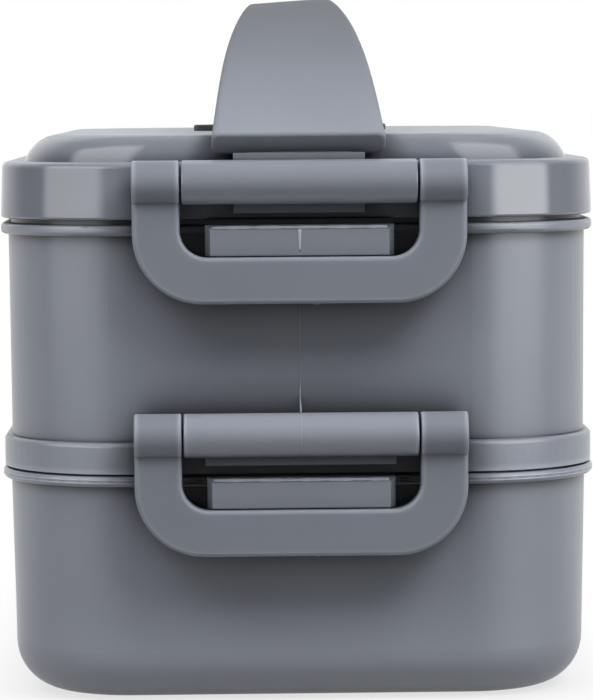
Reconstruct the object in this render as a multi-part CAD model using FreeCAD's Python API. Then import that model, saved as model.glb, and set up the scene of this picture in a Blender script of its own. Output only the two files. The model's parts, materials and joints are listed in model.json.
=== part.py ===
"""A two-tier lunch box: two stacked food tiers under a domed lid, held by a swinging loop latch
at both ends of each joint, with a carrying strap arched over the lid.

Millimetres. X runs across the box, Y along it with the front end at -Y, and Z up from the table.
"""
import FreeCAD
import Part
import math
import os

Vec = FreeCAD.Vector

# How far a cutting block runs past the face that it opens, and how near counts as the same place
overcut = 1.0
same = 1e-4

# Tier walls, measured just under the rim
wall_width = 117.0
wall_length = 179.0
wall_corner = 24.5
wall_thickness = 2.0
floor_thickness = 2.2
lower_taper = 0.9
upper_taper = 0.3
foot_radius = 10.0
lower_height = 45.5
tier_pitch = 49.5

# Rim of a tier: an outer bead, and a lip above it that presses on the seal
bead_height = 2.3
bead_overhang = 1.5
bead_rounding = 0.9
lip_inset = 0.6

# Seal between a tier and what covers it
seal_thickness = 2.2
seal_width = 3.0
seal_inset = 0.3
seal_rib = 1.2
seal_rib_depth = 2.6
seal_rib_gap = 0.1

# Flange round the base of the upper tier, which covers the lower rim
flange_gap = 0.3
flange_height = 6.2
flange_overhang = 1.2
flange_wall = 1.4
flange_roof = 1.2
flange_rounding = 1.0

# Lid
skirt_gap = 0.9
skirt_height = 11.3
skirt_overhang = 1.5
skirt_flare = 0.4
skirt_wall = 1.6
skirt_rounding = 1.2
skirt_foot_rounding = 0.5
lid_thickness = 2.2
dome_inset = 3.2
dome_corner = 27.0
dome_height = 5.3
dome_side_slope = 2.2
dome_side_rounding = 4.5
dome_end_slope = 1.5
dome_end_rounding = 1.2
dome_end_bow = 0.24
dome_steps = 8

# Latches: a barrel on the cover, a pin through it, a loop on the pin and a catch on the tier below
barrel_rise = 8.3
barrel_radius = 4.35
barrel_width = 46.0
ear_width = 9.3
ear_gap = 0.35
ear_clearance = 0.45
pin_radius = 1.5
pin_running_fit = 0.05
pin_tight_fit = 0.02
pin_bite = 7.0
pin_end_gap = 0.3
loop_drop = 23.7
bar_height = 9.1
loop_thickness = 4.0
loop_outer_radius = 13.6
loop_inner_radius = 5.3
loop_rounding = 0.8
barrel_rounding = 0.4
catch_width = 36.9
catch_reach = 6.7
catch_clearance = 0.25
catch_chamfer = 1.0
lug_drop = 6.1
lug_setback = 2.0
lug_lip_rise = 0.6
lug_lip_gap = 0.7
lid_lug_width = 25.7
tier_lug_width = 37.5
tier_lug_rise = 3.0

# Carrying strap
strap_thickness = 5.0
strap_foot_width = 34.2
strap_shoulder_width = 30.5
strap_middle_width = 26.1
strap_quarter_width = 21.2
strap_crown_width = 18.6
strap_rise = 28.3
strap_foot_reach = 5.5
strap_foot_lift = 0.2
strap_rounding = 1.6
strap_foot_rounding = 0.7
strap_twist = 3.8
strap_seat_gap = 0.1
tongue_width = 20.0
tongue_thickness = 2.6
tongue_length = 7.0
tongue_setback = 0.9
tongue_fit = 0.1
tongue_bite = 2.2

# Steam vent on the lid: a soft flap with a plug, held at one end by a pressed-in button
vent_length = 42.4
vent_width = 18.0
vent_height = 1.3
vent_rounding = 0.4
vent_button_length = 11.6
vent_split = 0.3
vent_recess_radius = 3.0
vent_recess_depth = 1.4
vent_plug_radius = 2.7
vent_plug_tip_radius = 2.2
vent_plug_depth = 1.1
steam_hole_radius = 0.8
vent_stem_radius = 2.5
vent_stem_fit = 0.02
vent_stem_margin = 1.5

# Dividers that stand across each tier between guide ribs
divider_thickness = 1.6
divider_side_gap = 0.4
divider_top_gap = 3.0
divider_offset = 24.0
guide_thickness = 1.4
guide_height = 1.5
guide_fit = 0.2
guide_sink = 1.2

# Heights that follow from the sizes above
lower_rim_z = lower_height
upper_rim_z = lower_height + tier_pitch
flange_z = lower_rim_z + flange_gap
flange_top_z = flange_z + flange_height
upper_floor_z = flange_top_z - flange_roof
lower_lip_z = upper_floor_z - seal_thickness
skirt_z = upper_rim_z + skirt_gap
skirt_top_z = skirt_z + skirt_height
lid_seat_z = skirt_top_z - lid_thickness
upper_lip_z = lid_seat_z - seal_thickness
lid_top_z = skirt_top_z + dome_height
lower_axle_z = lower_rim_z + barrel_rise
upper_axle_z = upper_rim_z + barrel_rise

# Depths outward from the end wall
axle_reach = skirt_overhang + ear_clearance + barrel_radius
axle_y = wall_length / 2 + axle_reach
ear_start = barrel_width / 2 + ear_gap
loop_half_width = ear_start + ear_width
bar_top_drop = loop_drop - bar_height

# Strap arc in the plane along the box: outer face through the crown and both foot edges
strap_half_span = wall_length / 2 + strap_foot_reach
strap_arc_rise = strap_rise - strap_foot_lift
strap_outer_radius = (strap_half_span**2 + strap_arc_rise**2) / (2 * strap_arc_rise)
strap_centre_z = lid_top_z + strap_rise - strap_outer_radius
strap_half_angle = math.asin(strap_half_span / strap_outer_radius)
strap_inner_radius = strap_outer_radius - strap_thickness
strap_foot_inner_y = strap_inner_radius * math.sin(strap_half_angle)
strap_foot_inner_z = strap_centre_z + strap_inner_radius * math.cos(strap_half_angle)
lid_lug_top_z = strap_foot_inner_z - strap_seat_gap
tongue_y = strap_foot_inner_y - tongue_setback
strap_widths = (strap_crown_width, strap_quarter_width, strap_middle_width,
                strap_shoulder_width, strap_foot_width)

# Places along the steam vent
vent_split_x = vent_button_length - vent_length / 2
vent_plug_x = vent_length / 2 - vent_width / 2
vent_stem_x = vent_split_x - vent_split / 2 - vent_stem_radius - vent_stem_margin


def box(x0, x1, y0, y1, z0, z1):
    """A box between two corners."""
    return Part.makeBox(x1 - x0, y1 - y0, z1 - z0, Vec(x0, y0, z0))


def rod(radius, length, centre):
    """A round rod along X about a centre point."""
    start = Vec(centre.x - length / 2, centre.y, centre.z)
    return Part.makeCylinder(radius, length, start, Vec(1, 0, 0))


def soft_ended(rod_shape):
    """A rod with the rims of both ends rounded off."""
    rims = [edge for edge in rod_shape.Edges if isinstance(edge.Curve, Part.Circle)]
    return rod_shape.makeFillet(barrel_rounding, rims)


def outline(offset, z, end_offset=None, corner=None):
    """The tier wall's rounded rectangle at one height, grown by an offset, or by another at its ends.

    Its corners grow with it unless they are given a radius of their own.
    """
    if end_offset is None:
        end_offset = offset
    half_x = wall_width / 2 + offset
    half_y = wall_length / 2 + end_offset
    radius = wall_corner + (offset + end_offset) / 2 if corner is None else corner
    diagonal = radius * math.sqrt(0.5)
    edges = []
    for turn in range(4):
        side_x, side_y = (half_x, half_y) if turn % 2 == 0 else (half_y, half_x)
        spin = FreeCAD.Rotation(Vec(0, 0, 1), 90 * turn)
        bend = Vec(side_x - radius, side_y - radius, z)
        start = spin.multVec(Vec(side_x, radius - side_y, z))
        end = spin.multVec(bend + Vec(radius, 0, 0))
        middle = spin.multVec(bend + Vec(diagonal, diagonal, 0))
        stop = spin.multVec(bend + Vec(0, radius, 0))
        edges.append(Part.LineSegment(start, end).toShape())
        edges.append(Part.Arc(end, middle, stop).toShape())
    return Part.Wire(edges)


def slab(offset, z0, z1):
    """A straight-sided block of the tier's outline."""
    return Part.Face(outline(offset, z0)).extrude(Vec(0, 0, z1 - z0))


def tapered(offset0, z0, offset1, z1):
    """A block whose outline changes evenly from one height to another."""
    return Part.makeLoft([outline(offset0, z0), outline(offset1, z1)], True, True)


def edges_at(shape, z):
    """The edges of a shape that lie flat at one height."""
    found = []
    for edge in shape.Edges:
        bounds = edge.BoundBox
        if abs(bounds.ZMin - z) < same and abs(bounds.ZMax - z) < same:
            found.append(edge)
    return found


def rounded_at(shape, radius, *heights):
    """Rounds every flat edge at the given heights."""
    chosen = []
    for z in heights:
        chosen.extend(edges_at(shape, z))
    return shape.makeFillet(radius, chosen)


def turned(shape, end):
    """The same piece at the front end (-1) or turned round to the back end (1)."""
    if end < 0:
        return shape.copy()
    return shape.rotated(Vec(0, 0, 0), Vec(0, 0, 1), 180)


def at_both_ends(shape):
    """Two copies of a piece, one at each end of the box."""
    return [turned(shape, -1), turned(shape, 1)]


def ring(outer, inner, z0, z1):
    """A closed band between two offsets of the tier's outline."""
    return slab(outer, z0, z1).cut(slab(inner, z0, z1))


def front_catch(rim_z, axle_z):
    """The shelf on a tier's front wall that the loop's bar hooks under."""
    bottom = axle_z - bar_top_drop + catch_clearance
    wall_y = -wall_length / 2
    block = box(-catch_width / 2, catch_width / 2, wall_y - catch_reach,
                wall_y + wall_thickness / 2, bottom, rim_z)
    front_edges = []
    for edge in block.Edges:
        middle = edge.BoundBox.Center
        if abs(middle.y - (wall_y - catch_reach)) < same and middle.z > bottom + same:
            front_edges.append(edge)
    return block.makeChamfer(catch_chamfer, front_edges)


def front_barrel(axle_z, lug_width, lug_top_z, root):
    """The hinge barrel at the front, with the lug that joins it to the cover at a root offset."""
    barrel = soft_ended(rod(barrel_radius, barrel_width, Vec(0, -axle_y, axle_z)))
    half = lug_width / 2
    root_y = -wall_length / 2 - root
    upper = box(-half, half, -axle_y, root_y, axle_z, lug_top_z)
    lower = box(-half, half, -axle_y + lug_setback, root_y, axle_z - lug_drop, axle_z)
    return barrel.multiFuse([upper, lower])


def front_lip():
    """The low lip on the lid's front lug that stands before the strap's foot."""
    half = lid_lug_width / 2
    back_y = -strap_foot_inner_y - lug_lip_gap
    return box(-half, half, -axle_y, back_y, upper_axle_z, lid_lug_top_z + lug_lip_rise)


def axle_bore(axle_z):
    """The hole along a front barrel for its pin."""
    return rod(pin_radius + pin_tight_fit, barrel_width, Vec(0, -axle_y, axle_z))


def guides(floor_z, top_z, lean):
    """Two pairs of ribs inside a tier that hold its divider upright."""
    half_x = wall_width / 2 - wall_thickness
    away = divider_thickness / 2 + guide_fit
    ribs = []
    for side in (-1, 1):
        for place in (-1, 1):
            y = divider_offset + place * (away + guide_thickness / 2)
            inner = side * (half_x - lean - guide_height)
            outer = side * (half_x - lean + guide_sink)
            ribs.append(box(min(inner, outer), max(inner, outer), y - guide_thickness / 2,
                            y + guide_thickness / 2, floor_z + foot_radius, top_z))
    return ribs


def hollow(floor_z, rim_z, lip_z, lean):
    """The food space of a tier, open at the top."""
    inner_radius = foot_radius - wall_thickness
    space = tapered(-wall_thickness - lean, floor_z, -wall_thickness, rim_z)
    space = rounded_at(space, inner_radius, floor_z)
    return space.fuse(slab(-wall_thickness, rim_z, lip_z + overcut))


def rim(rim_z, lip_z):
    """The bead and lip round the top of a tier, as solid blocks."""
    bead_z = rim_z - bead_height
    bead = rounded_at(slab(bead_overhang, bead_z, rim_z), bead_rounding, bead_z, rim_z)
    lip = slab(-lip_inset, rim_z - bead_height, lip_z)
    return [bead, lip]


def make_lower_tier():
    body = tapered(-lower_taper, 0, 0, lower_rim_z)
    body = rounded_at(body, foot_radius, 0)
    added = rim(lower_rim_z, lower_lip_z)
    added += at_both_ends(front_catch(lower_rim_z, lower_axle_z))
    body = body.multiFuse(added)
    body = body.cut(hollow(floor_thickness, lower_rim_z, lower_lip_z, lower_taper))
    body = body.multiFuse(guides(floor_thickness, lower_rim_z - divider_top_gap, lower_taper / 2))
    return body.removeSplitter()


def make_upper_tier():
    wall_z = upper_floor_z + floor_thickness
    body = tapered(-upper_taper, upper_floor_z, 0, upper_rim_z)
    flange = rounded_at(slab(flange_overhang, flange_z, flange_top_z), flange_rounding, flange_top_z)
    added = rim(upper_rim_z, upper_lip_z) + [flange]
    added += at_both_ends(front_catch(upper_rim_z, upper_axle_z))
    root = flange_overhang - flange_wall / 2
    barrel = front_barrel(lower_axle_z, tier_lug_width, lower_axle_z + tier_lug_rise, root)
    added += at_both_ends(barrel)
    body = body.multiFuse(added)
    under = slab(flange_overhang - flange_wall, flange_z - overcut, upper_floor_z)
    cuts = [hollow(wall_z, upper_rim_z, upper_lip_z, upper_taper), under]
    cuts += at_both_ends(axle_bore(lower_axle_z))
    body = body.cut(cuts)
    added = guides(wall_z, upper_rim_z - divider_top_gap, upper_taper / 2)
    added.append(seal_rib_ring(upper_floor_z))
    return body.multiFuse(added).removeSplitter()


def seal_rib_ring(seat_z):
    """The rib under a cover that keeps the seal from slipping inward."""
    outer = -seal_inset - seal_width - seal_rib_gap
    return ring(outer, outer - seal_rib, seat_z - seal_rib_depth, seat_z)


def dome_flank(slope, rounding, bow, height):
    """How far a flank of the dome has come in at one height: a slope that bows out and ends in a rounding."""
    share = height / dome_height
    bend = max(0, height - dome_height + rounding)
    return slope * share - 4 * bow * share * (1 - share) + rounding - math.sqrt(rounding**2 - bend**2)


def make_dome():
    """The raised middle of the lid, with round shoulders along its sides and steep ends."""
    heights = [-lid_thickness]
    heights += [dome_height * math.sin(math.pi / 2 * step / dome_steps) for step in range(dome_steps + 1)]
    sections = []
    for height in heights:
        side = dome_flank(dome_side_slope, dome_side_rounding, 0, height)
        end = dome_flank(dome_end_slope, dome_end_rounding, dome_end_bow, height)
        corner = dome_corner - (side + end) / 2
        sections.append(outline(-dome_inset - side, skirt_top_z + height, -dome_inset - end, corner))
    return Part.makeLoft(sections, True, False)


def make_lid():
    skirt = tapered(skirt_overhang, skirt_z, skirt_overhang - skirt_flare, skirt_top_z)
    skirt = rounded_at(skirt, skirt_rounding, skirt_top_z)
    skirt = rounded_at(skirt, skirt_foot_rounding, skirt_z)
    root = skirt_overhang - skirt_wall / 2
    barrel = front_barrel(upper_axle_z, lid_lug_width, lid_lug_top_z, root)
    lid = skirt.multiFuse([make_dome()] + at_both_ends(barrel) + at_both_ends(front_lip()))
    under = slab(skirt_overhang - skirt_wall, skirt_z - overcut, lid_seat_z)
    rib_inside = -seal_inset - seal_width - seal_rib_gap - seal_rib
    ceiling_z = lid_top_z - lid_thickness
    space_corner = dome_corner - lid_thickness
    space_foot = outline(rib_inside, lid_seat_z - overcut, corner=space_corner)
    space_ceiling = outline(rib_inside - dome_side_slope, ceiling_z, corner=space_corner)
    space = Part.makeLoft([space_foot, space_ceiling], True, True)
    space = rounded_at(space, dome_side_rounding - lid_thickness, ceiling_z)
    cuts = [under, space]
    cuts += at_both_ends(axle_bore(upper_axle_z))
    cuts += at_both_ends(front_tongue(tongue_fit))
    hole_z = ceiling_z - overcut
    hole_depth = lid_thickness + 2 * overcut
    recess_foot = Vec(vent_plug_x, 0, lid_top_z - vent_recess_depth)
    cuts.append(Part.makeCylinder(vent_recess_radius, vent_recess_depth + overcut, recess_foot))
    cuts.append(Part.makeCylinder(steam_hole_radius, hole_depth, Vec(vent_plug_x, 0, hole_z)))
    stem_hole = vent_stem_radius + vent_stem_fit
    cuts.append(Part.makeCylinder(stem_hole, hole_depth, Vec(vent_stem_x, 0, hole_z)))
    lid = lid.cut(cuts)
    return lid.fuse(seal_rib_ring(lid_seat_z)).removeSplitter()


def make_seal(seat_z):
    """The soft ring that a tier's lip presses against its cover."""
    return ring(-seal_inset, -seal_inset - seal_width, seat_z - seal_thickness, seat_z)


def front_tongue(grow):
    """The tongue under a strap's front foot, or its pocket when grown by the fit."""
    half_x = tongue_width / 2 + grow
    half_y = tongue_thickness / 2 + grow
    bottom = lid_lug_top_z - tongue_length - grow
    return box(-half_x, half_x, -tongue_y - half_y, -tongue_y + half_y,
               bottom, strap_foot_inner_z + tongue_bite)


def strap_section(share, width):
    """The strap's rounded cross-section at a share of the way from the crown to a foot."""
    angle = strap_half_angle * share
    half_x = width / 2
    half_t = strap_thickness / 2
    radius = strap_rounding
    corner = radius * (1 - math.sqrt(0.5))
    edges = []
    ring_points = []
    for side_x, side_t in ((1, 1), (-1, 1), (-1, -1), (1, -1)):
        near_x = Vec(side_x * half_x, side_t * (half_t - radius), 0)
        near_t = Vec(side_x * (half_x - radius), side_t * half_t, 0)
        bend = Vec(side_x * (half_x - corner), side_t * (half_t - corner), 0)
        first, last = (near_x, near_t) if side_x == side_t else (near_t, near_x)
        ring_points.append((first, bend, last))
    centre_radius = strap_outer_radius - half_t
    turn = strap_twist * math.cos(math.pi / 2 * share) ** 2
    spin = FreeCAD.Rotation(Vec(0, 0, 1), turn)

    def place(point):
        point = spin.multVec(point)
        reach = centre_radius + point.y
        return Vec(point.x, reach * math.sin(angle), strap_centre_z + reach * math.cos(angle))

    for index, (first, bend, last) in enumerate(ring_points):
        following = ring_points[(index + 1) % 4][0]
        edges.append(Part.Arc(place(first), place(bend), place(last)).toShape())
        edges.append(Part.LineSegment(place(last), place(following)).toShape())
    return Part.Wire(edges)


def make_strap():
    count = len(strap_widths) - 1
    sections = [strap_section(step / count, strap_widths[abs(step)]) for step in range(-count, count + 1)]
    band = Part.makeLoft(sections, True, False)
    foot_edges = []
    for face in band.Faces:
        if isinstance(face.Surface, Part.Plane):
            foot_edges.extend(face.Edges)
    band = band.makeFillet(strap_foot_rounding, foot_edges)
    return band.multiFuse(at_both_ends(front_tongue(0))).removeSplitter()


def front_loop(axle_z):
    """The swinging loop of one latch at the front: two ears, two arms and the bar."""
    half = loop_half_width
    bottom = axle_z - loop_drop
    bar_top = axle_z - bar_top_drop
    back_y = -axle_y + loop_thickness / 2
    outer = box(-half, half, -axle_y - loop_thickness / 2, back_y, bottom, axle_z)
    outer = outer.makeFillet(loop_outer_radius, upright_edges(outer, bottom))
    window = box(-ear_start, ear_start, -axle_y - loop_thickness, -axle_y + loop_thickness,
                 bar_top, axle_z + overcut)
    window = window.makeFillet(loop_inner_radius, upright_edges(window, bar_top))
    plate = outer.cut(window)
    faces_y = (-axle_y - loop_thickness / 2, back_y)
    trimmed = []
    for edge in plate.Edges:
        bounds = edge.BoundBox
        on_face = any(abs(bounds.YMin - y) + abs(bounds.YMax - y) < same for y in faces_y)
        if on_face and bounds.ZMin < axle_z - same:
            trimmed.append(edge)
    plate = plate.makeFillet(loop_rounding, trimmed)
    ears = []
    for side in (-1, 1):
        centre = Vec(side * (ear_start + ear_width / 2), -axle_y, axle_z)
        ears.append(soft_ended(rod(barrel_radius, ear_width, centre)))
    loop = plate.multiFuse(ears)
    bite = 2 * (ear_start + pin_bite + pin_end_gap)
    return loop.cut(rod(pin_radius + pin_running_fit, bite, Vec(0, -axle_y, axle_z))).removeSplitter()


def upright_edges(block, z):
    """The edges of a block that run along Y at one height."""
    found = []
    for edge in block.Edges:
        bounds = edge.BoundBox
        if bounds.YLength > same and abs(bounds.ZMin - z) < same and abs(bounds.ZMax - z) < same:
            found.append(edge)
    return found


def front_pin(axle_z):
    """The pin of one latch, pressed through the barrel and into both ears."""
    return rod(pin_radius, 2 * (ear_start + pin_bite), Vec(0, -axle_y, axle_z))


def vent_blank():
    """The whole pill outline of the vent, lying on the lid."""
    end_x = vent_plug_x
    blank = box(-end_x, end_x, -vent_width / 2, vent_width / 2, lid_top_z, lid_top_z + vent_height)
    for side in (-1, 1):
        centre = Vec(side * end_x, 0, lid_top_z)
        blank = blank.fuse(Part.makeCylinder(vent_width / 2, vent_height, centre))
    blank = blank.removeSplitter()
    return rounded_at(blank, vent_rounding, lid_top_z + vent_height)


def make_vent_button():
    reach = vent_length
    keep = box(-reach, vent_split_x - vent_split / 2, -reach, reach, 0, lid_top_z + reach)
    stem_z = lid_top_z - lid_thickness
    stem = Part.makeCylinder(vent_stem_radius, lid_thickness, Vec(vent_stem_x, 0, stem_z))
    return vent_blank().common(keep).fuse(stem).removeSplitter()


def make_vent_flap():
    reach = vent_length
    keep = box(vent_split_x + vent_split / 2, reach, -reach, reach, 0, lid_top_z + reach)
    plug_z = lid_top_z - vent_plug_depth
    foot = Vec(vent_plug_x, 0, plug_z)
    plug = Part.makeCone(vent_plug_tip_radius, vent_plug_radius, vent_plug_depth, foot)
    return vent_blank().common(keep).fuse(plug).removeSplitter()


def make_divider(floor_z, rim_z, lean):
    """The plate that parts a tier's food space, standing on the floor between its guides."""
    top_z = rim_z - divider_top_gap
    half_x = wall_width / 2 - wall_thickness - lean - divider_side_gap
    plate = box(-half_x, half_x, divider_offset - divider_thickness / 2,
                divider_offset + divider_thickness / 2, floor_z, top_z)
    return plate.makeFillet(foot_radius, upright_edges(plate, floor_z))


def make_parts():
    parts = {
        "lower_tier": make_lower_tier(),
        "upper_tier": make_upper_tier(),
        "lid": make_lid(),
        "lid_seal": make_seal(lid_seat_z),
        "tier_seal": make_seal(upper_floor_z),
        "carrying_strap": make_strap(),
        "vent_button": make_vent_button(),
        "vent_flap": make_vent_flap(),
        "lower_divider": make_divider(floor_thickness, lower_rim_z, lower_taper),
        "upper_divider": make_divider(upper_floor_z + floor_thickness, upper_rim_z, upper_taper),
    }
    for level, axle_z in (("lid", upper_axle_z), ("tier", lower_axle_z)):
        for name, end in (("front", -1), ("back", 1)):
            parts[level + "_latch_loop_" + name] = turned(front_loop(axle_z), end)
            parts[level + "_latch_pin_" + name] = turned(front_pin(axle_z), end)
    return parts


os.makedirs("parts", exist_ok=True)
for node, shape in make_parts().items():
    if not shape.isValid():
        raise ValueError(node + " is not a valid solid")
    shape.exportStep("parts/" + node + ".step")
    print(node, len(shape.Solids), round(shape.Volume / 1000, 3), "cm3")
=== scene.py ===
"""Dresses the lunch box: moulded plastic finishes, fine mould lines, a pale stage and a camera.

Metres. X runs across the box, Y along it with the photographed end at -Y, and Z up from the table.
"""
import json
import math

import bmesh
import bpy
from mathutils import Matrix, Vector


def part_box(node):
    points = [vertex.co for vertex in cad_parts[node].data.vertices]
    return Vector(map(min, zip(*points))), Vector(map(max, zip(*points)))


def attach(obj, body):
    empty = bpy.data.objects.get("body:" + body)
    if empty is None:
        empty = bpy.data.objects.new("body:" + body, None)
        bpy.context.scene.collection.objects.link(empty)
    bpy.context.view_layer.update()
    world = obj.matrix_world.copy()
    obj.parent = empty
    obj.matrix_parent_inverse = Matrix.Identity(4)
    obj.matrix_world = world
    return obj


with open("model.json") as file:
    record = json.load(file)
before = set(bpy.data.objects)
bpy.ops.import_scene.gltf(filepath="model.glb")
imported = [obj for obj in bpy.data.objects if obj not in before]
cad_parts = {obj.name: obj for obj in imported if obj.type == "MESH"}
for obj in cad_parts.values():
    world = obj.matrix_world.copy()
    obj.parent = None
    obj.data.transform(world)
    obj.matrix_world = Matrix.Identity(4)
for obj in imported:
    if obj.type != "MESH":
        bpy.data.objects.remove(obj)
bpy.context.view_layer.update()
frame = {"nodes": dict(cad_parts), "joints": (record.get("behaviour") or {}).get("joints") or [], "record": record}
nodes = frame["nodes"]

# The box's two ends with their sign along Y, its two long sides with their sign along X, and the directions
ends = (("front", -1), ("back", 1))
sides = (("left", -1), ("right", 1))
along_x = Vector((1, 0, 0))
along_y = Vector((0, 1, 0))
up = Vector((0, 0, 1))

# Camera of the photograph: the picture's height and the focal length in pixels, its place and aim in degrees
photo_height = 700
focal_pixels = 3558
sensor_size = 36
camera_place = (-0.0145, -0.789, 0.1198)
camera_pitch = -4.07
camera_yaw = -1.134
camera_roll = -0.45
clip_near = 0.01
clip_far = 100

# Plan of the tiers: how much longer than wide they are on each side of the middle, and the bead's corner
seal_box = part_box("tier_seal")
length_excess = seal_box[1].y - seal_box[1].x
bead_half_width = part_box("lower_tier")[1].x
bead_corner = 0.0260

# Heights of the tiers' rims, the chamfer on their catches, and the drop from a latch's axle to its bar
upper_rim = 0.0950
lower_rim = 0.0455
catch_chamfer = 0.0010
bar_drop = 0.0146

# How far from the middle a ray starts that looks for the surface of one end
ray_start = 0.3

# Fine ridges that a mould leaves: half the width, the height, how far the foot sinks into the wall, and the
# steps over a ridge's round back
line_half_width = 0.00016
line_height = 0.00009
line_sink = 0.00005
ridge_steps = 6

# Stations of the middle line on a wall, over a barrel and on a catch, the angles it spans on the barrel, and
# how much wider it ends on the catch
wall_stations = 12
barrel_stations = 15
barrel_sweep = (1.45, -1.2)
catch_stations = 7
catch_line_swell = 2.4

# Flash lines on the rim bead: drops from the rim, where they end beside a catch, and stations at a corner
bead_line_drops = (0.0009, 0.0015)
bead_line_start = 0.0195
bead_corner_stations = 13

# Ragged flash along the chamfer of a catch: its sizes, and its mean share with the waves that it varies by,
# each as a size, a rate in radians a metre and a start
burr_half_width = 0.00045
burr_height = 0.00008
burr_half_length = 0.0172
burr_stations = 61
burr_mean = 0.76
burr_waves = ((0.14, 900, 0.4), (0.1, 2300, 0))

# Gate mark of a latch loop, a nub under its bar: its place, sizes and how it swells along its length
nub_place = 0.0032
nub_half_length = 0.0007
nub_half_width = 0.0005
nub_height = 0.00035
nub_swell = (0.3, 0.75, 1, 0.75, 0.3)

# Grips on the vent's flap, counted in from its free end
grip_count = 3
grip_inset = 0.0045
grip_pitch = 0.0022
grip_half_length = 0.0042
grip_half_width = 0.0005
grip_height = 0.0004
grip_stations = 5

# The middle of a noise, which is spread to a full range
noise_range = (0.3, 0.7)

# Skin of moulded plastic: scale of its mottle and the share its colour drifts by, scale, stretch and drift
# of its polish, scale and stretch of its draw streaks, and the strength of the relief
mottle_scale = 34
mottle_change = 0.035
polish_scale = 90
polish_stretch = (1, 1, 0.12)
gloss_drift = 0.012
streak_scale = 700
streak_stretch = (1, 1, 0.02)
relief_strength = 0.5

# Skin of soft rubber: scale of its dust and the share its colour drifts by, scale and drift of its gloss,
# its sheen, and the scale, depth and strength of its grain
dust_scale = 260
dust_change = 0.12
rubber_scale = 120
rubber_drift = 0.06
sheen_weight = 0.12
sheen_roughness = 0.4
rubber_grain_scale = 2200
rubber_grain_depth = 0.00003
rubber_grain_strength = 0.4

# Drawn steel: scale and stretch of its lines, the share its colour drifts by, and the range of its roughness
wire_scale = 1500
wire_stretch = (0.02, 1, 1)
wire_change = 0.08
wire_roughness = (0.28, 0.42)

# Painted shade in crevices: how near a surface darkens them, the open shares between which it does, and the
# # tone they fall to
lid_painted_shade = (0.007, 0.30, 0.90, 0.10)
tier_painted_shade = (0.015, 0.45, 0.95, 0.10)
open_painted_shade = (0.004, 0.20, 0.80, 0.85)
occlusion_samples = 8

# Painted highlight along thin edges: how far in from an edge it is paler, and the shares of solid round a
# # place between which it pales
edge_highlight_reach = 0.0015
edge_highlight_range = (0.45, 0.9)

# Upward parts of a face's direction between which it goes from upright to level
level_range = (0.6, 0.97)

# Painted shade on the strap: heights between which it darkens toward its grip, and the tone it falls to
strap_painted_shade = (0.112, 0.140, 0.42)

# Floor: its half size and roughness, the foot whose shadow it keeps, how far that shadow reaches to
# each side of the foot's edge, and the share of white that it has under the foot
floor_half = 6.0
floor_roughness = 0.8
foot_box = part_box("lower_tier")
foot_corner = 0.026
shadow_reach = 0.012
shadow_white = 0.72

# Reflections: how bright the room in front of the white backdrop looks, the places along Y between which the
# floor goes from that to white, and the parts of a direction along Y between which the backdrop does
room_tone = 0.07
floor_brightens = (-0.25, 0.05)
backdrop_brightens = (0.2, 0.85)

# Even light from the surroundings
fill_colour = (0.9, 0.95, 1.0)
fill_strength = 0.03

# Where the lights aim, and the share of a softbox's width over which it dims toward each edge
light_target = Vector((0, 0, 0.07))
softbox_edge = 0.2

# Softboxes that only light, and cards that only show in reflections: azimuth from the photographed end and
# elevation in degrees, distance, width, height, and power in watts
lamps = {
    "overhead_softbox": (0, 66, 1.0, 1.2, 0.9, 5.6),
    "right_softbox": (45, 48, 1.1, 0.6, 0.6, 16.8),
    "left_softbox": (-45, 48, 1.1, 0.6, 0.6, 9.3),
    "right_side": (85, 20, 1.1, 0.5, 0.6, 0.7),
    "left_side": (-85, 20, 1.1, 0.5, 0.6, 0.7),
    "back_right_fill": (140, 35, 1.0, 0.5, 0.7, 4.2),
    "back_left_fill": (-140, 35, 1.0, 0.5, 0.7, 4.2),
}
cards = {
    "right_card": (49, 3, 1.1, 1.3, 0.55, 7.1),
    "left_card": (-50, 3, 1.1, 1.35, 0.55, 4.2),
    "right_dome_card": (49, 27, 1.1, 1.3, 0.75, 5.6),
    "left_dome_card": (-50, 27, 1.1, 1.35, 0.75, 6.2),
}

# Colours, as linear values
tier_colour = (0.206, 0.223, 0.263)
flash_colour = (0.330, 0.350, 0.390)
seam_colour = (0.235, 0.252, 0.290)
lid_colour = (0.190, 0.205, 0.238)
strap_colour = (0.205, 0.221, 0.254)
loop_colour = (0.158, 0.172, 0.201)
divider_colour = (0.300, 0.320, 0.360)
seal_colour = (0.700, 0.720, 0.730)
vent_colour = (0.030, 0.031, 0.034)
steel_colour = (0.560, 0.560, 0.550)
floor_colour = (0.420, 0.420, 0.420)


def new_material(name):
    """A new node material, its node tree and its shader."""
    material = bpy.data.materials.new(name)
    material.use_nodes = True
    tree = material.node_tree
    return material, tree, tree.nodes["Principled BSDF"]


def add_node(tree, kind, **inputs):
    """A node of one kind with its sockets set by name."""
    node = tree.nodes.new(kind)
    for socket, value in inputs.items():
        node.inputs[socket].default_value = value
    return node


def object_place(tree):
    """The socket of a place in the part's own space."""
    return tree.nodes.new("ShaderNodeTexCoord").outputs["Object"]


def axis_part(tree, vector, axis):
    """The socket of one part of a vector."""
    split = tree.nodes.new("ShaderNodeSeparateXYZ")
    tree.links.new(vector, split.inputs["Vector"])
    return split.outputs[axis]


def map_range(tree, value, start, end, smooth=False):
    """Maps a value from one range to another, and holds it there."""
    node = tree.nodes.new("ShaderNodeMapRange")
    if smooth:
        node.interpolation_type = "SMOOTHSTEP"
    for socket, limit in zip(("From Min", "From Max", "To Min", "To Max"), (*start, *end)):
        node.inputs[socket].default_value = limit
    tree.links.new(value, node.inputs["Value"])
    return node.outputs["Result"]


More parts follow.
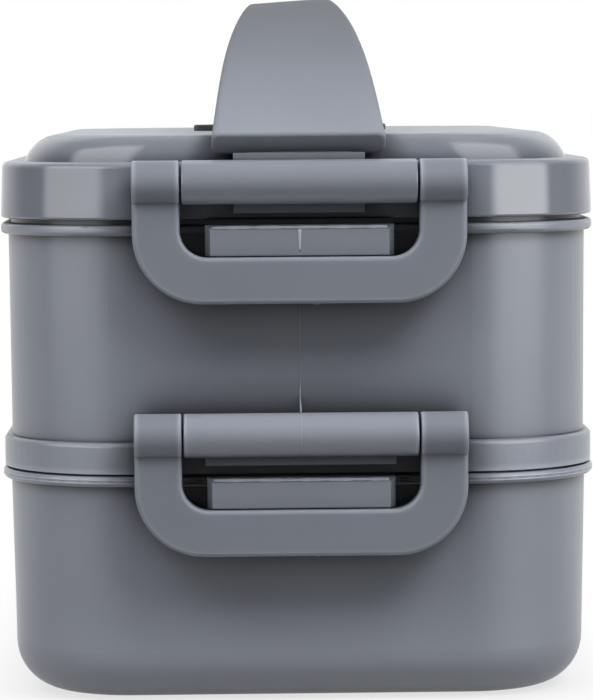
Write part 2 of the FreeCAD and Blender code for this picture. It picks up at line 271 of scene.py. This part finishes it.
def combine(tree, operation, first, second):
    """A math step on a value socket and a second one, or a number."""
    node = tree.nodes.new("ShaderNodeMath")
    node.operation = operation
    tree.links.new(first, node.inputs[0])
    if isinstance(second, bpy.types.NodeSocket):
        tree.links.new(second, node.inputs[1])
    else:
        node.inputs[1].default_value = second
    return node.outputs["Value"]


def vector_step(tree, operation, vector, other=(0, 0, 0)):
    """A vector step on a socket and a fixed vector; a length comes out as a value."""
    node = tree.nodes.new("ShaderNodeVectorMath")
    node.operation = operation
    node.inputs[1].default_value = other
    tree.links.new(vector, node.inputs[0])
    return node.outputs["Value" if operation == "LENGTH" else "Vector"]


def noise(tree, place, scale, detail, stretch=(1, 1, 1)):
    """Noise in the part's own space, stretched along its axes; gives the value's socket."""
    mapping = add_node(tree, "ShaderNodeMapping", Scale=stretch)
    tree.links.new(place, mapping.inputs["Vector"])
    texture = add_node(tree, "ShaderNodeTexNoise", Scale=scale, Detail=detail)
    tree.links.new(mapping.outputs["Vector"], texture.inputs["Vector"])
    return texture.outputs["Fac"]


def spread(tree, value, low, high):
    """Maps the middle of a noise to a range of values."""
    return map_range(tree, value, noise_range, (low, high))


def tinted(tree, value, colour, change):
    """A colour that drifts by a share of itself with a value from 0 to 1."""
    node = tree.nodes.new("ShaderNodeMix")
    node.data_type = "RGBA"
    tree.links.new(value, node.inputs["Factor"])
    sockets = [s for s in node.inputs if s.type == "RGBA"]
    sockets[0].default_value = tuple(c * (1 - change) for c in colour) + (1,)
    sockets[1].default_value = tuple(c * (1 + change) for c in colour) + (1,)
    return next(s for s in node.outputs if s.type == "RGBA")


def scaled(tree, colour, factor):
    """A colour socket multiplied by a value socket."""
    node = tree.nodes.new("ShaderNodeVectorMath")
    node.operation = "SCALE"
    tree.links.new(colour, node.inputs[0])
    tree.links.new(factor, node.inputs["Scale"])
    return node.outputs["Vector"]


def relief(tree, height, depth, strength, below=None):
    """A bumped surface direction from a height, on top of another one if given."""
    bump = add_node(tree, "ShaderNodeBump", Strength=strength, Distance=depth)
    tree.links.new(height, bump.inputs["Height"])
    if below is not None:
        tree.links.new(below, bump.inputs["Normal"])
    return bump.outputs["Normal"]


def occlusion(tree, reach, inside=False):
    """The share of open directions round a place, or of solid ones inside the piece."""
    node = add_node(tree, "ShaderNodeAmbientOcclusion", Distance=reach)
    node.inside = inside
    node.samples = occlusion_samples
    return node.outputs["AO"]


def painted_crevice_shade(tree, reach, closed, opened, tone):
    """A share that falls from 1 on open faces to a tone deep between close ones: painted shade in crevices."""
    return map_range(tree, occlusion(tree, reach), (closed, opened), (tone, 1))


def painted_edge_highlight(tree, gain):
    """A share that rises from 1 on broad faces to a gain along thin edges: a painted highlight on the edges."""
    return map_range(tree, occlusion(tree, edge_highlight_reach, inside=True), edge_highlight_range, (gain, 1))


def painted_height_shade(tree, place, low, high, tone):
    """A share that falls with height from 1 to a tone: painted shade toward the top of a grip."""
    return map_range(tree, axis_part(tree, place, "Z"), (low, high), (1, tone))


def level_share(tree, most):
    """A value that rises from 0 on upright faces to the most on level ones."""
    direction = tree.nodes.new("ShaderNodeNewGeometry").outputs["Normal"]
    return map_range(tree, axis_part(tree, direction, "Z"), level_range, (0, most))


def moulded(name, colour, gloss, grain_size, grain_depth, specular=0.42, streak=0.0, crown_shade=None,
            gap_shade=lid_painted_shade, edge_highlight_gain=None, top_gloss=None):
    """Injection-moulded plastic: fine skin grain, drifting tone and gloss, faint draw streaks, painted shade in
    crevices, and where given painted shade with height and a painted highlight on thin edges.
    """
    material, tree, shader = new_material(name)
    place = object_place(tree)
    mottle = spread(tree, noise(tree, place, mottle_scale, detail=4), 0, 1)
    # Painted shade: the colour darkens deep between close faces
    tone = scaled(tree, tinted(tree, mottle, colour, mottle_change), painted_crevice_shade(tree, *gap_shade))
    if crown_shade:
        # Painted shade: the colour darkens toward the top
        tone = scaled(tree, tone, painted_height_shade(tree, place, *crown_shade))
    if edge_highlight_gain:
        # Painted highlight: the colour pales along thin edges
        tone = scaled(tree, tone, painted_edge_highlight(tree, edge_highlight_gain))
    tree.links.new(tone, shader.inputs["Base Color"])
    polish = noise(tree, place, polish_scale, detail=3, stretch=polish_stretch)
    roughness = spread(tree, polish, gloss - gloss_drift, gloss + gloss_drift)
    if top_gloss:
        roughness = combine(tree, "ADD", roughness, level_share(tree, top_gloss - gloss))
    tree.links.new(roughness, shader.inputs["Roughness"])
    shader.inputs["Specular IOR Level"].default_value = specular
    grain = noise(tree, place, 1 / grain_size, detail=2)
    skin = relief(tree, grain, grain_depth, relief_strength)
    if streak:
        draw = noise(tree, place, streak_scale, detail=2, stretch=streak_stretch)
        skin = relief(tree, draw, streak, relief_strength, below=skin)
    tree.links.new(skin, shader.inputs["Normal"])
    return material


def silicone(name, colour, gloss):
    """Soft rubber with a powdery, uneven sheen."""
    material, tree, shader = new_material(name)
    place = object_place(tree)
    dust = spread(tree, noise(tree, place, dust_scale, detail=5), 0, 1)
    tree.links.new(tinted(tree, dust, colour, dust_change), shader.inputs["Base Color"])
    wipe = noise(tree, place, rubber_scale, detail=3)
    roughness = spread(tree, wipe, gloss - rubber_drift, gloss + rubber_drift)
    tree.links.new(roughness, shader.inputs["Roughness"])
    shader.inputs["Sheen Weight"].default_value = sheen_weight
    shader.inputs["Sheen Roughness"].default_value = sheen_roughness
    grain = noise(tree, place, rubber_grain_scale, detail=2)
    skin = relief(tree, grain, rubber_grain_depth, rubber_grain_strength)
    tree.links.new(skin, shader.inputs["Normal"])
    return material


def drawn_steel(name, colour):
    """Wire drawn along X, with fine lines along the pin and painted shade in its crevices."""
    material, tree, shader = new_material(name)
    lines = noise(tree, object_place(tree), wire_scale, detail=3, stretch=wire_stretch)
    shine = tinted(tree, spread(tree, lines, 0, 1), colour, wire_change)
    # Painted shade: the steel's colour darkens in crevices
    tree.links.new(scaled(tree, shine, painted_crevice_shade(tree, *lid_painted_shade)), shader.inputs["Base Color"])
    tree.links.new(spread(tree, lines, *wire_roughness), shader.inputs["Roughness"])
    shader.inputs["Metallic"].default_value = 1.0
    return material


materials = {
    "tier_plastic": moulded(
        "tier_plastic", tier_colour, gloss=0.3, grain_size=0.0006, grain_depth=0.000012,
        specular=0.9, streak=0.000006, gap_shade=tier_painted_shade, edge_highlight_gain=1.6),
    "tier_flash": moulded(
        "tier_flash", flash_colour, gloss=0.45, grain_size=0.0003, grain_depth=0.00003, gap_shade=open_painted_shade),
    "tier_seam": moulded(
        "tier_seam", seam_colour, gloss=0.4, grain_size=0.0003, grain_depth=0.00002, gap_shade=tier_painted_shade),
    "lid_plastic": moulded(
        "lid_plastic", lid_colour, gloss=0.08, grain_size=0.0006, grain_depth=0.000002,
        specular=1.0, top_gloss=0.36),
    "strap_plastic": moulded(
        "strap_plastic", strap_colour, gloss=0.62, grain_size=0.0004, grain_depth=0.00002,
        specular=0.25, crown_shade=strap_painted_shade, gap_shade=open_painted_shade),
    "loop_plastic": moulded(
        "loop_plastic", loop_colour, gloss=0.42, grain_size=0.0005, grain_depth=0.000014,
        specular=0.4, edge_highlight_gain=2.2),
    "loop_gate": moulded(
        "loop_gate", loop_colour, gloss=0.42, grain_size=0.0005, grain_depth=0.000014, specular=0.4),
    "divider_plastic": moulded(
        "divider_plastic", divider_colour, gloss=0.45, grain_size=0.0006, grain_depth=0.000012),
    "seal": silicone("seal", seal_colour, gloss=0.5),
    "vent_rubber": silicone("vent_rubber", vent_colour, gloss=0.62),
    "pin_steel": drawn_steel("pin_steel", steel_colour),
}


def finish_nodes():
    """Gives every CAD piece the finish of its own slot."""
    for part in frame["record"]["subparts"]:
        piece = nodes[part["node"]]
        piece.data.materials.clear()
        piece.data.materials.append(materials[part["material_slot"]])


def mesh_piece(name, bm, slot, body, finish=None):
    """Makes a smooth piece on a body from a built mesh, with its slot's finish or another."""
    bmesh.ops.recalc_face_normals(bm, faces=bm.faces)
    for face in bm.faces:
        face.smooth = True
    mesh = bpy.data.meshes.new(name)
    bm.to_mesh(mesh)
    bm.free()
    mesh.materials.append(materials[finish or slot])
    piece = bpy.data.objects.new(name, mesh)
    bpy.context.scene.collection.objects.link(piece)
    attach(piece, body)


def ridge(bm, stations, half_width, height, swell=None):
    """Adds a low rounded strip along stations of place, outward direction and direction across."""
    rings = []
    for index, (place, outward, across) in enumerate(stations):
        scale = swell[index] if swell else 1
        ring = []
        for step in range(ridge_steps + 1):
            angle = math.pi * step / ridge_steps
            reach = across * (half_width * math.cos(angle)) + outward * (height * math.sin(angle))
            ring.append(bm.verts.new(place + reach * scale))
        for side in (-1, 1):
            foot = across * (half_width * side * scale) - outward * line_sink
            ring.append(bm.verts.new(place + foot))
        rings.append(ring)
    size = len(rings[0])
    for first, second in zip(rings, rings[1:]):
        for index in range(size):
            following = (index + 1) % size
            bm.faces.new((first[index], first[following], second[following], second[index]))
    bm.faces.new(rings[0])
    bm.faces.new(list(reversed(rings[-1])))


def surface_station(node, x, z, end, across):
    """Where a level ray from outside one end meets a CAD piece, with the surface's direction."""
    start = Vector((x, ray_start * end, z))
    hit, place, normal, _ = nodes[node].ray_cast(start, Vector((0, -end, 0)))
    if not hit:
        raise ValueError(f"no surface of {node} at x {x}, z {z}")
    return place, normal, across


def even_steps(low, high, count):
    """Evenly spaced values from one end to the other."""
    return [low + (high - low) * step / (count - 1) for step in range(count)]


def middle_line(bm, end, heights, swell=None):
    """Adds a fine ridge on the middle of the upper tier's end, through the given heights."""
    stations = [surface_station("upper_tier", 0, z, end, along_x) for z in heights]
    ridge(bm, stations, line_half_width, line_height, swell)


def parting_lines():
    """The mould's middle line on the upper tier: down its end walls, over the barrels, on the catches."""
    joints = {joint["name"]: joint for joint in frame["joints"]}
    for end_name, end in ends:
        lid_axle = joints[f"lid_latch_{end_name}_swing"]["pos_m"]
        tier_axle = joints[f"tier_latch_{end_name}_swing"]["pos_m"]
        barrel_radius = abs(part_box("upper_tier")[1].y) - abs(tier_axle[1])
        bar_top = lid_axle[2] - bar_drop
        bm = bmesh.new()
        middle_line(bm, end, even_steps(tier_axle[2] + barrel_radius, bar_top, wall_stations))
        angles = even_steps(*barrel_sweep, barrel_stations)
        middle_line(bm, end, [tier_axle[2] + barrel_radius * math.sin(angle) for angle in angles])
        mesh_piece(f"upper_tier_mould_line_{end_name}", bm, "tier_plastic", "box", "tier_seam")
        bm = bmesh.new()
        heights = even_steps(bar_top + line_half_width, upper_rim - catch_chamfer, catch_stations)
        middle_line(bm, end, heights, even_steps(1, catch_line_swell, catch_stations))
        mesh_piece(f"upper_tier_catch_line_{end_name}", bm, "tier_plastic", "box", "tier_flash")


def bead_path(side, height):
    """Stations round one side of the lower tier's rim bead, from catch to catch."""
    half_length = bead_half_width + length_excess
    corner_x = bead_half_width - bead_corner
    corner_y = half_length - bead_corner
    stations = [(Vector((side * bead_line_start, -half_length, height)), -along_y, up)]
    for first, last, middle_y in ((-90, 0, -corner_y), (0, 90, corner_y)):
        for angle in even_steps(math.radians(first), math.radians(last), bead_corner_stations):
            out = Vector((math.cos(angle) * side, math.sin(angle), 0))
            stations.append((Vector((side * corner_x, middle_y, height)) + out * bead_corner, out, up))
    stations.append((Vector((side * bead_line_start, half_length, height)), along_y, up))
    return stations


def bead_lines():
    """Two fine flash lines round the lower tier's rim bead."""
    for side_name, side in sides:
        bm = bmesh.new()
        for drop in bead_line_drops:
            ridge(bm, bead_path(side, lower_rim - drop), line_half_width, line_height)
        mesh_piece(f"lower_tier_bead_line_{side_name}", bm, "tier_plastic", "box")


def ragged(x):
    """An uneven share from about 0.5 to 1 along a moulded edge."""
    return burr_mean + sum(size * math.sin(rate * x + start) for size, rate, start in burr_waves)


def catch_burrs():
    """Ragged flash along the chamfer of each catch."""
    places = even_steps(-burr_half_length, burr_half_length, burr_stations)
    for node, rim in (("upper_tier", upper_rim), ("lower_tier", lower_rim)):
        for end_name, end in ends:
            along_chamfer = Vector((0, -end, 1)).normalized()
            height = rim - catch_chamfer / 2
            stations = [surface_station(node, x, height, end, along_chamfer) for x in places]
            bm = bmesh.new()
            ridge(bm, stations, burr_half_width, burr_height, [ragged(x) for x in places])
            mesh_piece(f"{node}_catch_burr_{end_name}", bm, "tier_plastic", "box", "tier_flash")


def gate_marks():
    """On each latch loop, a nub under the bar where its mould was fed."""
    spots = even_steps(nub_place - nub_half_length, nub_place + nub_half_length, len(nub_swell))
    for joint in frame["joints"]:
        if not joint["name"].endswith("_swing"):
            continue
        latch = joint["name"].removesuffix("_swing")
        node = latch.replace("latch_", "latch_loop_")
        end = 1 if latch.endswith("back") else -1
        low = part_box(node)[0]
        axle_y = joint["pos_m"][1]
        stations = [(Vector((-end * x, axle_y, low.z)), -up, along_y) for x in spots]
        bm = bmesh.new()
        ridge(bm, stations, nub_half_width, nub_height, nub_swell)
        mesh_piece(f"{node}_gate_marks", bm, "loop_plastic", latch, "loop_gate")


def vent_grips():
    """Low ribs across the free end of the vent's flap."""
    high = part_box("vent_flap")[1]
    spots = even_steps(-grip_half_length, grip_half_length, grip_stations)
    bm = bmesh.new()
    for index in range(grip_count):
        x = high.x - grip_inset - grip_pitch * index
        stations = [(Vector((x, y, high.z)), up, along_x) for y in spots]
        ridge(bm, stations, grip_half_width, grip_height)
    mesh_piece("vent_flap_grips", bm, "vent_rubber", "vent")


def light_path_sum(tree, mirror=None):
    """1 for camera rays and for passed and mirrored rays, else 0; a mirror share may dim the last."""
    path = tree.nodes.new("ShaderNodeLightPath")
    mirrored = path.outputs["Is Glossy Ray"]
    if mirror is not None:
        mirrored = combine(tree, "MULTIPLY", mirrored, mirror)
    seen = combine(tree, "MAXIMUM", path.outputs["Is Camera Ray"], path.outputs["Is Transmission Ray"])
    return combine(tree, "MAXIMUM", seen, mirrored)


def brightened(tree, place, brightens):
    """A share that rises along Y from the room's tone on the photographed end's side to 1."""
    return map_range(tree, axis_part(tree, place, "Y"), brightens, (room_tone, 1), smooth=True)


def shadow_fade(tree, place):
    """The floor's share of white, which is lower under the foot and 1 a little outside its edge."""
    inner = (foot_box[1].x - foot_corner, foot_box[1].y - foot_corner, 0)
    beyond = vector_step(tree, "SUBTRACT", vector_step(tree, "ABSOLUTE", place), inner)
    reach = vector_step(tree, "LENGTH", vector_step(tree, "MAXIMUM", beyond))
    band = (foot_corner - shadow_reach, foot_corner + shadow_reach)
    return map_range(tree, reach, band, (shadow_white, 1), smooth=True)


def floor_finish():
    """A matt floor under a white glow that fades where the object's shadow is kept."""
    material, tree, shader = new_material("floor")
    shader.inputs["Base Color"].default_value = floor_colour + (1,)
    shader.inputs["Roughness"].default_value = floor_roughness
    shader.inputs["Specular IOR Level"].default_value = 0.0
    place = object_place(tree)
    seen = combine(tree, "MULTIPLY", light_path_sum(tree), shadow_fade(tree, place))
    white = tree.nodes.new("ShaderNodeEmission")
    strength = light_path_sum(tree, brightened(tree, place, floor_brightens))
    tree.links.new(strength, white.inputs["Strength"])
    mix = tree.nodes.new("ShaderNodeMixShader")
    tree.links.new(seen, mix.inputs["Fac"])
    tree.links.new(shader.outputs["BSDF"], mix.inputs[1])
    tree.links.new(white.outputs["Emission"], mix.inputs[2])
    tree.links.new(mix.outputs["Shader"], tree.nodes["Material Output"].inputs["Surface"])
    return material


def make_floor():
    """A pale floor that fades to white away from the object and keeps its shadow close by."""
    mesh = bpy.data.meshes.new("floor")
    turns = ((-1, -1), (1, -1), (1, 1), (-1, 1))
    corners = [(floor_half * x, floor_half * y, 0) for x, y in turns]
    mesh.from_pydata(corners, [], [(0, 1, 2, 3)])
    mesh.materials.append(floor_finish())
    floor = bpy.data.objects.new("floor", mesh)
    bpy.context.scene.collection.objects.link(floor)
    floor.visible_shadow = False


def make_world():
    """Even fill light, and a white background that mirrored rays see dim on the photographed end's side."""
    world = bpy.data.worlds.new("studio")
    bpy.context.scene.world = world
    world.use_nodes = True
    tree = world.node_tree
    fill = tree.nodes["Background"]
    fill.inputs["Color"].default_value = fill_colour + (1,)
    fill.inputs["Strength"].default_value = fill_strength
    white = add_node(tree, "ShaderNodeBackground", Color=(1, 1, 1, 1), Strength=1.0)
    direction = tree.nodes.new("ShaderNodeTexCoord").outputs["Generated"]
    seen = light_path_sum(tree, brightened(tree, direction, backdrop_brightens))
    mix = tree.nodes.new("ShaderNodeMixShader")
    tree.links.new(seen, mix.inputs["Fac"])
    tree.links.new(fill.outputs["Background"], mix.inputs[1])
    tree.links.new(white.outputs["Background"], mix.inputs[2])
    tree.links.new(mix.outputs["Shader"], tree.nodes["World Output"].inputs["Surface"])


def fade_edges(light):
    """Dims an area light smoothly toward its four edges, as the cloth of a softbox does."""
    light.use_nodes = True
    tree = light.node_tree
    place = tree.nodes.new("ShaderNodeNewGeometry").outputs["Parametric"]
    middle = 0.5
    shares = []
    for axis in ("X", "Y"):
        offset = combine(tree, "SUBTRACT", axis_part(tree, place, axis), middle)
        reach = combine(tree, "ABSOLUTE", offset, 0)
        shares.append(map_range(tree, reach, (middle - softbox_edge, middle), (1, 0), smooth=True))
    tree.links.new(combine(tree, "MULTIPLY", *shares), tree.nodes["Emission"].inputs["Strength"])


def softbox(name, azimuth, elevation, distance, width, height, power, lighting):
    """A soft light aimed at the middle of the box that either lights it or is only seen in reflections."""
    turn = math.radians(azimuth)
    rise = math.radians(elevation)
    away = Vector((math.sin(turn) * math.cos(rise), -math.cos(turn) * math.cos(rise), math.sin(rise)))
    light = bpy.data.lights.new(name, "AREA")
    light.shape = "RECTANGLE"
    light.size = width
    light.size_y = height
    light.energy = power
    fade_edges(light)
    lamp = bpy.data.objects.new(name, light)
    lamp.location = light_target + away * distance
    lamp.rotation_euler = (-away).to_track_quat("-Z", "Y").to_euler()
    lamp.visible_diffuse = lighting
    lamp.visible_glossy = not lighting
    bpy.context.scene.collection.objects.link(lamp)


def make_lights():
    """The lamps that light the box, and the cards that its glossy faces mirror."""
    for name, setting in lamps.items():
        softbox(name, *setting, lighting=True)
    for name, setting in cards.items():
        softbox(name, *setting, lighting=False)


def make_camera():
    """The photograph's camera, as its frame and place were worked out."""
    data = bpy.data.cameras.new("camera")
    data.sensor_width = sensor_size
    data.lens = sensor_size * focal_pixels / photo_height
    data.clip_start = clip_near
    data.clip_end = clip_far
    camera = bpy.data.objects.new("camera", data)
    turn = Matrix.Rotation(math.radians(camera_yaw), 4, "Z")
    tip = Matrix.Rotation(math.radians(90 + camera_pitch), 4, "X")
    roll = Matrix.Rotation(math.radians(camera_roll), 4, "Z")
    camera.matrix_world = Matrix.Translation(camera_place) @ turn @ tip @ roll
    bpy.context.scene.collection.objects.link(camera)
    bpy.context.scene.camera = camera


finish_nodes()
parting_lines()
bead_lines()
catch_burrs()
gate_marks()
vent_grips()
make_floor()
make_world()
make_lights()
make_camera()
bpy.context.scene.view_settings.view_transform = "Standard"
